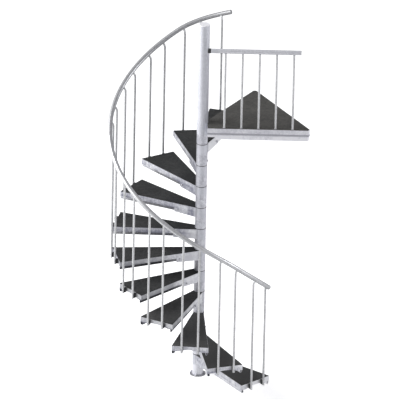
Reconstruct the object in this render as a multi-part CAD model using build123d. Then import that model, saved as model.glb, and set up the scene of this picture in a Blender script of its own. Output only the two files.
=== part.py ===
"""Galvanised outdoor spiral staircase with eleven treads and a triangular landing.

Sizes are in millimetres and angles in degrees. The origin is on the column's axis, on the floor.
+Z is up, and +X points out through the landing edge that is bolted to the building.
"""

import os
from math import atan2, ceil, cos, degrees, hypot, radians, sin, tan

from build123d import *

os.makedirs("parts", exist_ok=True)

# Flight
TREAD_COUNT = 11
RISE = 210.0
STEP_ANGLE = 23.9
TOP_TREAD_ANGLE = 44.0

# Column
COLUMN_HEIGHT = 3485.0
POLE_DIAMETER = 88.9
POLE_WALL = 3.2
SLEEVE_CLEARANCE = 0.3
SLEEVE_WALL = 6.05
FLANGE_MARGIN = 22.2
FLANGE_THICKNESS = 10.0
FLANGE_HOLE_COUNT = 4
FLANGE_HOLE_DIAMETER = 10.0
CAP_THICKNESS = 6.0
CAP_CHAMFER = 2.5
CAP_SPIGOT_LENGTH = 20.0
CAP_SPIGOT_CLEARANCE = 0.25

# Tread
TREAD_LENGTH = 782.0
TREAD_HALF_WIDTH_AT_AXIS = 42.0
TREAD_EDGE_ANGLE = 9.2
SHEET = 3.0
MAT_THICKNESS = 4.0
MAT_INSET = 2.0
HUB_HEIGHT = 100.0
EDGE_BAND_HEIGHT = 45.0
HEM_HEIGHT = 30.0
HEM_WIDTH = 24.0
HEM_WALL = 2.5
NOSING_LEAN = 12.0
BACK_LEAN = 3.0
FASCIA_HEIGHT = 55.0
FASCIA_RELIEF = 16.0
FASCIA_RELIEF_HALF_WIDTH = 112.0
CHEEK_LENGTH = 240.0
CHEEK_HUB_MARGIN = 2.0
CHEEK_LIP = 5.0
RIB_HEIGHT = 32.0

# Balusters
BALUSTER_DIAMETER = 20.0
BALUSTER_STANDOFF = 28.0
BALUSTER_HALF_SPACING = 74.0
BALUSTER_FOOT_MARGIN = 2.0
BALUSTER_LEAN = 20.0
BALUSTER_BEND_ANGLE = 68.0
LOWER_FLIGHT_SHARE = 0.38
MIDDLE_FLIGHT_SHARE = 0.67
SPACER_WIDTH = 22.0
SPACER_HEIGHT = 46.0
SPACER_TOP_DROP = 7.0
SPACER_EDGE_RADIUS = 3.0

# Handrail
RAIL_DIAMETER = 42.4
RAIL_OUTSET = 26.5
RAIL_HEIGHT = 1058.0
RAIL_START_OVERHANG = 15.0
RAIL_LOW_RUN = 33.0
RAIL_LOW_DROP = 79.0
RAIL_TOP_RUN = 26.0
RAIL_TOP_DROP = 100.0
RAIL_SEGMENT_ANGLE = 12.0
RAIL_ARC_SHARE = 0.45
RAIL_SECTION_COUNT = 3
RAIL_END_MARGIN = 23.0
RAIL_SEAT_GAP = 0.3
PLUG_THICKNESS = 4.0
PLUG_CHAMFER = 2.0

# Landing
LANDING_SIDE = 1048.0
LANDING_EDGE_X = 788.0
LANDING_EDGE_CENTRE_Y = -90.3
LANDING_CORNER_FLAT = 28.0
LANDING_HUB_BITE = 4.8
LANDING_RIM_CLEARANCE = 64.2
LANDING_DEPTH = 112.0
LANDING_BAND_HEIGHT = 68.0
LANDING_BAND_PROUD = 8.0
LANDING_JOIST_HEIGHT = 60.0
LANDING_JOIST_COUNT = 2
LANDING_HOLE_DIAMETER = 12.0
LANDING_HOLE_COUNT = 4
LANDING_HOLE_SPACING = 240.0
LANDING_HOLE_DROP = 60.0

# Landing guard
GUARD_HEIGHT = 755.0
GUARD_BALUSTER_COUNT = 5
GUARD_FIRST_BALUSTER = 170.7
GUARD_BALUSTER_SPACING = 155.0
GUARD_BALUSTER_INSET = 18.0
GUARD_OUTER_OVERHANG = 62.0
GUARD_INNER_OVERHANG = 158.0

# Worked-out values
TRIANGLE_ANGLE = 60.0
HALF_TRIANGLE_ANGLE = TRIANGLE_ANGLE / 2
SLEEVE_BORE_RADIUS = POLE_DIAMETER / 2 + SLEEVE_CLEARANCE
SLEEVE_RADIUS = SLEEVE_BORE_RADIUS + SLEEVE_WALL
FLANGE_RADIUS = SLEEVE_RADIUS + FLANGE_MARGIN
FLANGE_HOLE_CIRCLE_RADIUS = SLEEVE_RADIUS + FLANGE_MARGIN / 2
CAP_UNDERSIDE = COLUMN_HEIGHT - CAP_THICKNESS
LANDING_LEVEL = (TREAD_COUNT + 1) * RISE
BALUSTER_AXIS = TREAD_LENGTH + BALUSTER_STANDOFF
BALUSTER_HALF_ANGLE = degrees(atan2(BALUSTER_HALF_SPACING, BALUSTER_AXIS))
BALUSTER_AXIS_RADIUS = hypot(BALUSTER_AXIS, BALUSTER_HALF_SPACING)
BALUSTER_FOOT_DROP = SPACER_TOP_DROP + SPACER_HEIGHT + BALUSTER_FOOT_MARGIN
STAIR_BALUSTER_COUNT = 2 * TREAD_COUNT - 1
FIRST_MIDDLE_BALUSTER = round(LOWER_FLIGHT_SHARE * STAIR_BALUSTER_COUNT)
FIRST_UPPER_BALUSTER = round(MIDDLE_FLIGHT_SHARE * STAIR_BALUSTER_COUNT)
FLIGHTS = {
    "lower": range(0, FIRST_MIDDLE_BALUSTER),
    "middle": range(FIRST_MIDDLE_BALUSTER, FIRST_UPPER_BALUSTER),
    "upper": range(FIRST_UPPER_BALUSTER, STAIR_BALUSTER_COUNT),
}
RAIL_RADIUS = BALUSTER_AXIS_RADIUS + RAIL_OUTSET
RAIL_START_ANGLE = -BALUSTER_HALF_ANGLE - degrees(RAIL_START_OVERHANG / RAIL_RADIUS)
RAIL_END_ANGLE = (TREAD_COUNT - 1) * STEP_ANGLE
RAIL_LOW_KNEE = RAIL_START_ANGLE + RAIL_LOW_RUN
RAIL_TOP_KNEE = RAIL_END_ANGLE - RAIL_TOP_RUN
LANDING_INNER_CUT = SLEEVE_RADIUS - LANDING_HUB_BITE
LANDING_RIM_CUT = SLEEVE_RADIUS + LANDING_RIM_CLEARANCE
FIRST_TREAD_ANGLE = TOP_TREAD_ANGLE + (TREAD_COUNT - 1) * STEP_ANGLE


def tread_level(number):
    """Height of a tread's walking surface."""
    return number * RISE


def tread_place(number):
    """Location of a tread: its centre line along local +X, its walking surface at local zero."""
    angle = FIRST_TREAD_ANGLE - (number - 1) * STEP_ANGLE
    return Location((0, 0, tread_level(number)), (0, 0, angle))


def tread_half_width(distance):
    """Half of a tread's width at a distance from the column's axis."""
    return TREAD_HALF_WIDTH_AT_AXIS + distance * tan(radians(TREAD_EDGE_ANGLE))


def ring(outer_radius, inner_radius, bottom, top):
    """Upright ring between two heights."""
    wall = Circle(outer_radius) - Circle(inner_radius)
    return extrude(Plane.XY.offset(bottom) * wall, top - bottom)


def upright_cylinder(radius, bottom, top):
    """Solid upright cylinder between two heights."""
    return extrude(Plane.XY.offset(bottom) * Circle(radius), top - bottom)


def upright_plate(points, thickness, origin, along):
    """Plate standing on edge: points are (run, height), and the run goes along a plan direction."""
    plane = Plane(origin=origin, x_dir=along, z_dir=Vector(along).cross(Vector(0, 0, 1)))
    return extrude(plane * make_face(Polyline(*points, close=True)), thickness)


# Column


def base_flange():
    """Round floor plate with its anchor holes."""
    plate = upright_cylinder(FLANGE_RADIUS, 0, FLANGE_THICKNESS)
    first_hole = 180 / FLANGE_HOLE_COUNT
    holes = PolarLocations(FLANGE_HOLE_CIRCLE_RADIUS, FLANGE_HOLE_COUNT, start_angle=first_hole)
    plate -= holes * Cylinder(FLANGE_HOLE_DIAMETER / 2, 3 * FLANGE_THICKNESS)
    return plate


def centre_pole():
    """Inner tube that carries the sleeves and the hubs."""
    radius = POLE_DIAMETER / 2
    return ring(radius, radius - POLE_WALL, FLANGE_THICKNESS, CAP_UNDERSIDE)


def spacer_sleeves():
    """Sleeves between the hubs, from the floor flange up to the landing's hub."""
    sleeves = []
    bottom = FLANGE_THICKNESS
    for number in range(1, TREAD_COUNT + 2):
        hub_height = HUB_HEIGHT if number <= TREAD_COUNT else LANDING_DEPTH
        top = tread_level(number) - hub_height
        sleeves.append(ring(SLEEVE_RADIUS, SLEEVE_BORE_RADIUS, bottom, top))
        bottom = tread_level(number)
    return sleeves


def top_sleeve():
    """Long plain sleeve from the landing's hub up to the cap."""
    return ring(SLEEVE_RADIUS, SLEEVE_BORE_RADIUS, LANDING_LEVEL, CAP_UNDERSIDE)


def column_cap():
    """Chamfered disc on top of the column, with a spigot inside the pole."""
    disc = upright_cylinder(SLEEVE_RADIUS, CAP_UNDERSIDE, COLUMN_HEIGHT)
    disc = chamfer(disc.edges().group_by(Axis.Z)[-1], CAP_CHAMFER)
    spigot_radius = POLE_DIAMETER / 2 - POLE_WALL - CAP_SPIGOT_CLEARANCE
    return disc + upright_cylinder(spigot_radius, CAP_UNDERSIDE - CAP_SPIGOT_LENGTH, CAP_UNDERSIDE)


# Treads


def side_rail(lean):
    """Folded side of a tread along local +X: an upright band over a hollow hem that leans inward."""
    band_foot = -MAT_THICKNESS - EDGE_BAND_HEIGHT
    hem_foot = band_foot - HEM_HEIGHT
    band = Polyline(
        (0, -MAT_THICKNESS),
        (SHEET, -MAT_THICKNESS),
        (SHEET, band_foot),
        (0, band_foot),
        close=True,
    )
    hem = make_face(
        Polyline(
            (0, band_foot),
            (lean, hem_foot),
            (HEM_WIDTH, hem_foot),
            (HEM_WIDTH, band_foot + HEM_WALL),
            (0, band_foot + HEM_WALL),
            close=True,
        )
    )
    section = make_face(band) + hem - offset(hem, amount=-HEM_WALL, kind=Kind.INTERSECTION)
    length = TREAD_LENGTH / cos(radians(TREAD_EDGE_ANGLE))
    plane = Plane(origin=(0, 0, 0), x_dir=(0, 1, 0), z_dir=(1, 0, 0))
    return extrude(plane * section, length + HEM_WIDTH)


def side_cheek():
    """Tapered plate on the outside of a side rail, beside the hub."""
    hem_foot = MAT_THICKNESS + EDGE_BAND_HEIGHT + HEM_HEIGHT
    points = [
        (0, -MAT_THICKNESS),
        (CHEEK_LENGTH, -MAT_THICKNESS),
        (CHEEK_LENGTH, -hem_foot - CHEEK_LIP),
        (0, CHEEK_HUB_MARGIN - HUB_HEIGHT),
    ]
    return upright_plate(points, SHEET, (0, 0, 0), (1, 0, 0))


def end_fascia():
    """Outer end plate of a tread, with a shallow arch between the balusters' spacers."""
    half_width = tread_half_width(TREAD_LENGTH)
    foot = -FASCIA_HEIGHT
    outline = Polyline(
        (-FASCIA_RELIEF_HALF_WIDTH, foot),
        (-half_width, foot),
        (-half_width, -MAT_THICKNESS),
        (half_width, -MAT_THICKNESS),
        (half_width, foot),
        (FASCIA_RELIEF_HALF_WIDTH, foot),
    )
    arch = ThreePointArc(
        (FASCIA_RELIEF_HALF_WIDTH, foot),
        (0, foot + FASCIA_RELIEF),
        (-FASCIA_RELIEF_HALF_WIDTH, foot),
    )
    plane = Plane(origin=(TREAD_LENGTH - SHEET, 0, 0), x_dir=(0, 1, 0), z_dir=(1, 0, 0))
    return extrude(plane * make_face([outline, arch]), SHEET)


def tread_outline(inset):
    """Plan of a tread, drawn in by an inset on its three free sides."""
    slope = radians(TREAD_EDGE_ANGLE)
    end = TREAD_LENGTH - inset
    side_inset = inset / cos(slope)
    near = TREAD_HALF_WIDTH_AT_AXIS - side_inset
    far = tread_half_width(end) - side_inset
    return make_face(Polyline((0, -near), (end, -far), (end, far), (0, near), close=True))


def tread_frame():
    """Folded steel tread with its hub, in the tread's own place."""
    deck = extrude(Plane.XY.offset(-MAT_THICKNESS - SHEET) * tread_outline(0), SHEET)
    nosing = Location((0, TREAD_HALF_WIDTH_AT_AXIS, 0), (0, 0, TREAD_EDGE_ANGLE))
    back = Location((0, -TREAD_HALF_WIDTH_AT_AXIS, 0), (0, 0, -TREAD_EDGE_ANGLE))
    nosing_rail = nosing * mirror(side_rail(NOSING_LEAN), Plane.XZ)
    back_rail = back * side_rail(BACK_LEAN)
    nosing_cheek = nosing * mirror(side_cheek(), Plane.XZ)
    back_cheek = back * side_cheek()
    rib = upright_plate(
        [
            (0, -MAT_THICKNESS - SHEET),
            (TREAD_LENGTH - SHEET, -MAT_THICKNESS - SHEET),
            (TREAD_LENGTH - SHEET, -MAT_THICKNESS - SHEET - RIB_HEIGHT),
            (0, -MAT_THICKNESS - SHEET - RIB_HEIGHT),
        ],
        SHEET,
        (0, SHEET / 2, 0),
        (1, 0, 0),
    )
    frame = deck + nosing_rail + back_rail + nosing_cheek + back_cheek + end_fascia() + rib
    frame -= Pos(TREAD_LENGTH, 0, 0) * Box(
        4 * HEM_WIDTH,
        4 * TREAD_HALF_WIDTH_AT_AXIS + TREAD_LENGTH,
        4 * HUB_HEIGHT,
        align=(Align.MIN, Align.CENTER, Align.CENTER),
    )
    frame -= upright_cylinder(SLEEVE_RADIUS - SHEET / 2, -2 * HUB_HEIGHT, HUB_HEIGHT)
    frame -= Box(
        2 * TREAD_LENGTH,
        4 * TREAD_LENGTH,
        4 * HUB_HEIGHT,
        align=(Align.MAX, Align.CENTER, Align.CENTER),
    )
    return frame + ring(SLEEVE_RADIUS, SLEEVE_BORE_RADIUS, -HUB_HEIGHT, 0)


def tread_mat():
    """Dark ribbed mat that covers the tread's deck, in the tread's own place."""
    mat = extrude(Plane.XY.offset(-MAT_THICKNESS) * tread_outline(MAT_INSET), MAT_THICKNESS)
    return mat - upright_cylinder(SLEEVE_RADIUS + MAT_INSET, -2 * MAT_THICKNESS, MAT_THICKNESS)


# Handrail


def stair_point(radius, stair_angle, height):
    """Point at an angle up the stair, counted from the first tread's centre line."""
    angle = radians(FIRST_TREAD_ANGLE - stair_angle)
    return Vector(radius * cos(angle), radius * sin(angle), height)


def rail_height(stair_angle):
    """Height of the handrail's centre line, with its steeper foot and its flatter top end."""
    height = RISE + RAIL_HEIGHT + RISE * stair_angle / STEP_ANGLE
    if stair_angle < RAIL_LOW_KNEE:
        height -= RAIL_LOW_DROP * (RAIL_LOW_KNEE - stair_angle) / RAIL_LOW_RUN
    if stair_angle > RAIL_TOP_KNEE:
        height -= RAIL_TOP_DROP * (stair_angle - RAIL_TOP_KNEE) / RAIL_TOP_RUN
    return height


def rail_vertices():
    """Corners of the polygon that the handrail's arcs round off, and its two end points."""
    sweep_angle = RAIL_END_ANGLE - RAIL_START_ANGLE
    count = ceil(sweep_angle / RAIL_SEGMENT_ANGLE)
    segment = sweep_angle / count
    corner_radius = RAIL_RADIUS / cos(radians(segment / 2))
    points = [stair_point(RAIL_RADIUS, RAIL_START_ANGLE, rail_height(RAIL_START_ANGLE))]
    for index in range(count):
        angle = RAIL_START_ANGLE + (index + 0.5) * segment
        points.append(stair_point(corner_radius, angle, rail_height(angle)))
    points.append(stair_point(RAIL_RADIUS, RAIL_END_ANGLE, rail_height(RAIL_END_ANGLE)))
    return points


def arc_radii(points):
    """Radius of the arc at each inner corner, so that the arcs fill most of every side."""
    radii = []
    last = len(points) - 1
    for index in range(1, last):
        before = points[index] - points[index - 1]
        after = points[index + 1] - points[index]
        reach_before = before.length * (2 if index == 1 else 1)
        reach_after = after.length * (2 if index == last - 1 else 1)
        turn = radians(before.get_angle(after))
        radii.append(RAIL_ARC_SHARE * min(reach_before, reach_after) / tan(turn / 2))
    return radii


def bar_along(points, radius):
    """Round bar along a smoothed path."""
    path = FilletPolyline(*points, radius=arc_radii(points))
    section = Plane(origin=path @ 0, z_dir=path % 0) * Circle(radius)
    return sweep(section, path=path)


def handrail_sections(radius):
    """Handrail cut into butted lengths at the middle of a straight side."""
    points = rail_vertices()
    corners = points[1:-1]
    share = len(corners) / RAIL_SECTION_COUNT
    sections = []
    start = points[0]
    first = 0
    for index in range(1, RAIL_SECTION_COUNT + 1):
        last = round(index * share)
        if index == RAIL_SECTION_COUNT:
            end = points[-1]
        else:
            end = (corners[last - 1] + corners[last]) / 2
        sections.append(bar_along([start, *corners[first:last], end], radius))
        start = end
        first = last
    return sections


def end_plug(centre, outward):
    """Chamfered plug on the cut end of a rail."""
    disc = Cylinder(RAIL_DIAMETER / 2, PLUG_THICKNESS, align=(Align.CENTER, Align.CENTER, Align.MIN))
    disc = chamfer(disc.edges().group_by(Axis.Z)[-1], PLUG_CHAMFER)
    return Plane(origin=centre, z_dir=outward).location * disc


# Stair balusters


def baluster_angle(index):
    """Angle up the stair of one baluster: two stand on each tread, either side of its centre line."""
    side = -1 if index % 2 == 0 else 1
    return (index // 2) * STEP_ANGLE + side * BALUSTER_HALF_ANGLE


def stair_baluster(index, seat):
    """Upright whose top bends outward and down the stair, and is cut off at the handrail's seat."""
    number = index // 2 + 1
    angle = baluster_angle(index)
    foot = stair_point(BALUSTER_AXIS_RADIUS, angle, tread_level(number) - BALUSTER_FOOT_DROP)
    lowest_angle = RAIL_START_ANGLE + degrees(RAIL_END_MARGIN / RAIL_RADIUS)
    target_angle = max(angle - degrees(BALUSTER_LEAN / RAIL_RADIUS), lowest_angle)
    target = stair_point(RAIL_RADIUS, target_angle, rail_height(target_angle))
    side = Vector(target.X - foot.X, target.Y - foot.Y, 0)
    bend = radians(BALUSTER_BEND_ANGLE)
    bend_radius = side.length / (1 - cos(bend))
    straight = target.Z - foot.Z - bend_radius * sin(bend)
    plane = Plane(origin=foot, x_dir=side.normalized(), z_dir=side.normalized().cross(Vector(0, 0, 1)))
    shaft = Line((0, 0), (0, straight))
    crook = ThreePointArc(
        (0, straight),
        (bend_radius * (1 - cos(bend / 2)), straight + bend_radius * sin(bend / 2)),
        (side.length, target.Z - foot.Z),
    )
    path = plane * Wire([shaft.edge(), crook.edge()])
    bar = sweep(Plane(origin=foot, z_dir=(0, 0, 1)) * Circle(BALUSTER_DIAMETER / 2), path=path)
    return bar - seat


def baluster_spacer():
    """Plastic block between a tread's end fascia and one baluster, in the tread's own place."""
    block = Box(
        BALUSTER_STANDOFF,
        SPACER_WIDTH,
        SPACER_HEIGHT,
        align=(Align.MIN, Align.CENTER, Align.MAX),
    )
    block = fillet(block.edges().filter_by(Axis.X), SPACER_EDGE_RADIUS)
    cradle = Pos(BALUSTER_STANDOFF, 0, 0) * Cylinder(BALUSTER_DIAMETER / 2, 4 * SPACER_HEIGHT)
    return Pos(TREAD_LENGTH, 0, -SPACER_TOP_DROP) * (block - cradle)


def stair_spacer(index):
    """Spacer of one baluster, in its place on the stair."""
    number = index // 2 + 1
    side = 1 if index % 2 == 0 else -1
    return tread_place(number) * Pos(0, side * BALUSTER_HALF_SPACING, 0) * baluster_spacer()


# Landing


def landing_corners(side_inset, wall_inset):
    """Corners of the landing's triangle: beside the column, left of the wall and right of the wall."""
    half_angle = radians(HALF_TRIANGLE_ANGLE)
    inner_x = LANDING_EDGE_X - LANDING_SIDE * cos(half_angle) + side_inset / sin(half_angle)
    edge_x = LANDING_EDGE_X - wall_inset
    half = (edge_x - inner_x) * tan(half_angle)
    inner = Vector(inner_x, LANDING_EDGE_CENTRE_Y, 0)
    left = Vector(edge_x, LANDING_EDGE_CENTRE_Y + half, 0)
    right = Vector(edge_x, LANDING_EDGE_CENTRE_Y - half, 0)
    return inner, left, right


def front_direction():
    """Plan direction of the landing's guarded edge, away from the column."""
    return Vector(cos(radians(HALF_TRIANGLE_ANGLE)), -sin(radians(HALF_TRIANGLE_ANGLE)), 0)


def landing_outline(side_inset, wall_inset):
    """Plan of the landing, with its two wall corners blunted."""
    inner, left, right = landing_corners(side_inset, wall_inset)
    sharp_corners = landing_corners(0, 0)
    slope = tan(radians(HALF_TRIANGLE_ANGLE))
    points = [inner]
    for corner, sharp, angle in (
        (left, sharp_corners[1], TRIANGLE_ANGLE),
        (right, sharp_corners[2], -TRIANGLE_ANGLE),
    ):
        outward = Vector(cos(radians(angle)), sin(radians(angle)), 0)
        across = Vector(-outward.Y, outward.X, 0)
        depth = (corner - sharp).dot(outward) + LANDING_CORNER_FLAT / 2 / slope + side_inset
        points.append(corner - outward * depth + across * depth * slope)
        points.append(corner - outward * depth - across * depth * slope)
    return make_face(Polyline(*points, close=True))


def landing_prism(side_inset, wall_inset, bottom, top, cut):
    """Triangular block with its inner corner cut off beside the column."""
    outline = landing_outline(side_inset, wall_inset)
    block = extrude(Plane.XY.offset(LANDING_LEVEL + bottom) * outline, top - bottom)
    along = front_direction()
    clear = Plane(origin=along * cut + Vector(0, 0, LANDING_LEVEL), x_dir=along, z_dir=(0, 0, 1))
    cutter = clear.location * Box(
        LANDING_SIDE,
        2 * LANDING_SIDE,
        4 * LANDING_DEPTH,
        align=(Align.MAX, Align.CENTER, Align.CENTER),
    )
    return block - cutter


def landing_frame():
    """Welded landing: deck sheet, deep rim with a proud upper band, joists and the hub."""
    deck_top = -MAT_THICKNESS
    proud = LANDING_BAND_PROUD
    cut = LANDING_RIM_CUT
    rim = landing_prism(proud, 0, -LANDING_DEPTH, deck_top, cut)
    rim -= landing_prism(proud + SHEET, SHEET, -2 * LANDING_DEPTH, deck_top - SHEET, cut + SHEET)
    deck = landing_prism(proud, 0, deck_top - SHEET, deck_top, LANDING_INNER_CUT)
    band_foot = deck_top - LANDING_BAND_HEIGHT
    band = landing_prism(0, 0, band_foot, deck_top, LANDING_INNER_CUT)
    band -= landing_prism(proud, 0, 2 * band_foot, 0, LANDING_INNER_CUT - SHEET)
    frame = rim + deck + band
    inner = landing_prism(proud + SHEET / 2, SHEET / 2, -LANDING_DEPTH, deck_top, cut)
    span = LANDING_EDGE_X - SLEEVE_RADIUS
    for number in range(1, LANDING_JOIST_COUNT + 1):
        joist = Pos(
            SLEEVE_RADIUS + span * number / (LANDING_JOIST_COUNT + 1),
            0,
            LANDING_LEVEL + deck_top - SHEET,
        ) * Box(SHEET, 2 * LANDING_SIDE, LANDING_JOIST_HEIGHT, align=(Align.CENTER, Align.CENTER, Align.MAX))
        frame += joist & inner
    for number in range(LANDING_HOLE_COUNT):
        offset_y = (number - (LANDING_HOLE_COUNT - 1) / 2) * LANDING_HOLE_SPACING
        hole = Pos(
            LANDING_EDGE_X,
            LANDING_EDGE_CENTRE_Y + offset_y,
            LANDING_LEVEL - LANDING_HOLE_DROP,
        ) * Rot(0, 90, 0)
        frame -= hole * Cylinder(LANDING_HOLE_DIAMETER / 2, 4 * SHEET)
    frame -= upright_cylinder(SLEEVE_RADIUS - SHEET / 2, 0, COLUMN_HEIGHT)
    hub_bottom = LANDING_LEVEL - LANDING_DEPTH
    return frame + ring(SLEEVE_RADIUS, SLEEVE_BORE_RADIUS, hub_bottom, LANDING_LEVEL)


def landing_mat():
    """Dark mat that covers the landing's deck."""
    mat = landing_prism(MAT_INSET, MAT_INSET, -MAT_THICKNESS, 0, LANDING_INNER_CUT + MAT_INSET)
    return mat - upright_cylinder(SLEEVE_RADIUS + MAT_INSET, 0, COLUMN_HEIGHT)


# Landing guard


def guard_point(distance, height):
    """Point over the guarded edge, at a distance back from the wall end of that edge."""
    right = landing_corners(0, 0)[2]
    along = front_direction()
    inward = Vector(-along.Y, along.X, 0)
    plan = right - along * distance + inward * GUARD_BALUSTER_INSET
    return Vector(plan.X, plan.Y, LANDING_LEVEL + height)


def guard_balusters():
    """Straight uprights on the landing, under the guard's rail."""
    balusters = []
    for number in range(GUARD_BALUSTER_COUNT):
        foot = guard_point(GUARD_FIRST_BALUSTER + number * GUARD_BALUSTER_SPACING, 0)
        bar = Pos(foot.X, foot.Y, foot.Z) * Cylinder(
            BALUSTER_DIAMETER / 2,
            GUARD_HEIGHT,
            align=(Align.CENTER, Align.CENTER, Align.MIN),
        )
        balusters.append(bar - guard_rail())
    return balusters


def guard_rail_ends():
    """Wall end and column end of the guard's rail."""
    outer = guard_point(GUARD_FIRST_BALUSTER - GUARD_OUTER_OVERHANG, GUARD_HEIGHT)
    last_baluster = GUARD_FIRST_BALUSTER + (GUARD_BALUSTER_COUNT - 1) * GUARD_BALUSTER_SPACING
    inner = guard_point(last_baluster + GUARD_INNER_OVERHANG, GUARD_HEIGHT)
    return outer, inner


def guard_rail():
    """Level rail over the landing's guarded edge."""
    outer, inner = guard_rail_ends()
    run = outer - inner
    bar = Cylinder(RAIL_DIAMETER / 2, run.length, align=(Align.CENTER, Align.CENTER, Align.MIN))
    return Plane(origin=inner, z_dir=run).location * bar


def rail_plugs():
    """Plugs on the two ends of the handrail and of the guard's rail."""
    points = rail_vertices()
    outer, inner = guard_rail_ends()
    return [
        end_plug(points[0], points[0] - points[1]),
        end_plug(points[-1], points[-1] - points[-2]),
        end_plug(outer, outer - inner),
        end_plug(inner, inner - outer),
    ]


def save(name, solids):
    """Write one node: a single shape or several that don't touch each other."""
    shape = Compound(children=solids) if isinstance(solids, list) else solids
    shape.label = name
    export_step(shape, f"parts/{name}.step")


save("base_flange", base_flange())
save("centre_pole", centre_pole())
save("spacer_sleeves", spacer_sleeves())
save("top_sleeve", top_sleeve())
save("column_cap", column_cap())

frame_shape = tread_frame()
mat_shape = tread_mat()
for tread_number in range(1, TREAD_COUNT + 1):
    save(f"tread_{tread_number:02d}", tread_place(tread_number) * frame_shape)
    save(f"tread_mat_{tread_number:02d}", tread_place(tread_number) * mat_shape)

for flight, section in zip(FLIGHTS, handrail_sections(RAIL_DIAMETER / 2)):
    save(f"handrail_{flight}", section)
rail_seat = handrail_sections(RAIL_DIAMETER / 2 + RAIL_SEAT_GAP)
for flight, indices in FLIGHTS.items():
    save(f"balusters_{flight}", [stair_baluster(index, rail_seat) for index in indices])
    save(f"baluster_spacers_{flight}", [stair_spacer(index) for index in indices])

save("landing_frame", landing_frame())
save("landing_mat", landing_mat())
save("guard_balusters", guard_balusters())
save("guard_rail", guard_rail())
save("rail_plugs", rail_plugs())
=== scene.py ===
"""Looks of the galvanised spiral staircase: finishes, small fixings and the studio round it.

Everything is in metres in the stair's own frame. The column stands on the origin and +Z is up.
"""

import logging
import math
import random
from dataclasses import dataclass, field, replace
from enum import Enum
from functools import cache, cached_property
from typing import Any, Callable, Iterable, Protocol, Sequence, Union

import bmesh
import bpy
from mathutils import Matrix, Vector


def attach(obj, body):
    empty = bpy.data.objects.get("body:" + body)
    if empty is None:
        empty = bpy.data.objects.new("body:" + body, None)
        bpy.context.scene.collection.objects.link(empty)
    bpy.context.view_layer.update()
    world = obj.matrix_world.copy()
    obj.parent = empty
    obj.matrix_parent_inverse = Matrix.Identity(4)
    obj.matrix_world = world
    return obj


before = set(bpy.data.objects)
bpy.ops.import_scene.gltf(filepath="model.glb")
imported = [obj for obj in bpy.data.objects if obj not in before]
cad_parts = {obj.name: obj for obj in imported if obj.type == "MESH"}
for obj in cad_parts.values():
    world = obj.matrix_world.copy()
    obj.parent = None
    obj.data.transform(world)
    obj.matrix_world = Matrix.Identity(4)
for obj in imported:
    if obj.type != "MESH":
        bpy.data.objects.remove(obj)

LOG = logging.getLogger("stair")
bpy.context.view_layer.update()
BODY = "root"

Colour = tuple[float, float, float]
Heading = tuple[float, float]
Pairs = Sequence[tuple[float, float]]
SocketKey = Union[str, int]


class Slot(Enum):
    """Material slots meant for the added pieces; they are stored but not assigned."""

    SHEET = "galvanised_sheet"
    TUBE = "galvanised_tube"
    PLASTIC = "black_plastic"


class Axis(Enum):
    """Axes that a placement can turn about."""

    X = "X"
    Y = "Y"
    Z = "Z"


def shift(x: float, y: float, z: float) -> Matrix:
    """Placement moved by x, y and z."""
    return Matrix.Translation((x, y, z))


def turn(degrees: float, axis: Axis) -> Matrix:
    """Placement turned about one axis."""
    return Matrix.Rotation(math.radians(degrees), 4, axis.value)


def facing(point: Vector, direction: Vector) -> Matrix:
    """Placement at a point, with its local +Z along a direction."""
    rotation = direction.to_track_quat("Z", "Y").to_matrix().to_4x4()
    return Matrix.Translation(point) @ rotation


def direction_to(azimuth: float, elevation: float) -> Vector:
    """Direction from the stair to a place round it, in degrees from its -Y side and up."""
    around, up = math.radians(azimuth), math.radians(elevation)
    return Vector((math.sin(around) * math.cos(up), -math.cos(around) * math.cos(up), math.sin(up)))


def circle(radius: float, height: float, count: int, first: float = 0.0) -> list[Vector]:
    """Points on a circle round the local Z axis, from so many steps round from +X."""
    angles = (2 * math.pi * (step + first) / count for step in range(count))
    return [Vector((radius * math.cos(a), radius * math.sin(a), height)) for a in angles]


def placed(name: str, data: bpy.types.ID) -> bpy.types.Object:
    """Put a new object into the scene.

    Args:
        name: The object's name.
        data: Its mesh, light or camera.

    Returns:
        The object.
    """
    made = bpy.data.objects.new(name, data)
    bpy.context.scene.collection.objects.link(made)
    return made


# Shader maths


def operator(operation: str, reflected: bool = False) -> Callable[["Signal", "Value"], "Signal"]:
    """Make one of a signal's operators.

    Args:
        operation: What its Math node does.
        reflected: Whether the signal is the second of the two values.

    Returns:
        The operator.
    """

    def apply(signal: "Signal", other: "Value") -> "Signal":
        """Add the node."""
        values = (other, signal) if reflected else (signal, other)
        return signal.sheet.maths(operation, *values)

    return apply


class Signal:
    """A shader socket that Python's operators work on."""

    def __init__(self, sheet: "NodeSheet", socket: bpy.types.NodeSocket) -> None:
        """Hold a socket and the sheet that its nodes are drawn on."""
        self.sheet = sheet
        self.socket = socket

    __add__, __radd__ = operator("ADD"), operator("ADD", reflected=True)
    __sub__, __rsub__ = operator("SUBTRACT"), operator("SUBTRACT", reflected=True)
    __mul__, __rmul__ = operator("MULTIPLY"), operator("MULTIPLY", reflected=True)
    __truediv__, __rtruediv__ = operator("DIVIDE"), operator("DIVIDE", reflected=True)
    __pow__, __rpow__ = operator("POWER"), operator("POWER", reflected=True)

    def above(self, limit: float) -> "Signal":
        """1 where the signal is over a limit, and 0 elsewhere."""
        return self.sheet.maths("GREATER_THAN", self, limit)

    def held(self) -> "Signal":
        """The signal kept between 0 and 1."""
        return self.sheet.maths("ADD", self, 0.0, held=True)

    def between(self, none: float, full: float) -> "Signal":
        """0 where the signal is at none or past it, 1 at full, and even steps between them."""
        return ((self - none) * (1 / (full - none))).held()


Value = Union[Signal, float]


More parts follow.
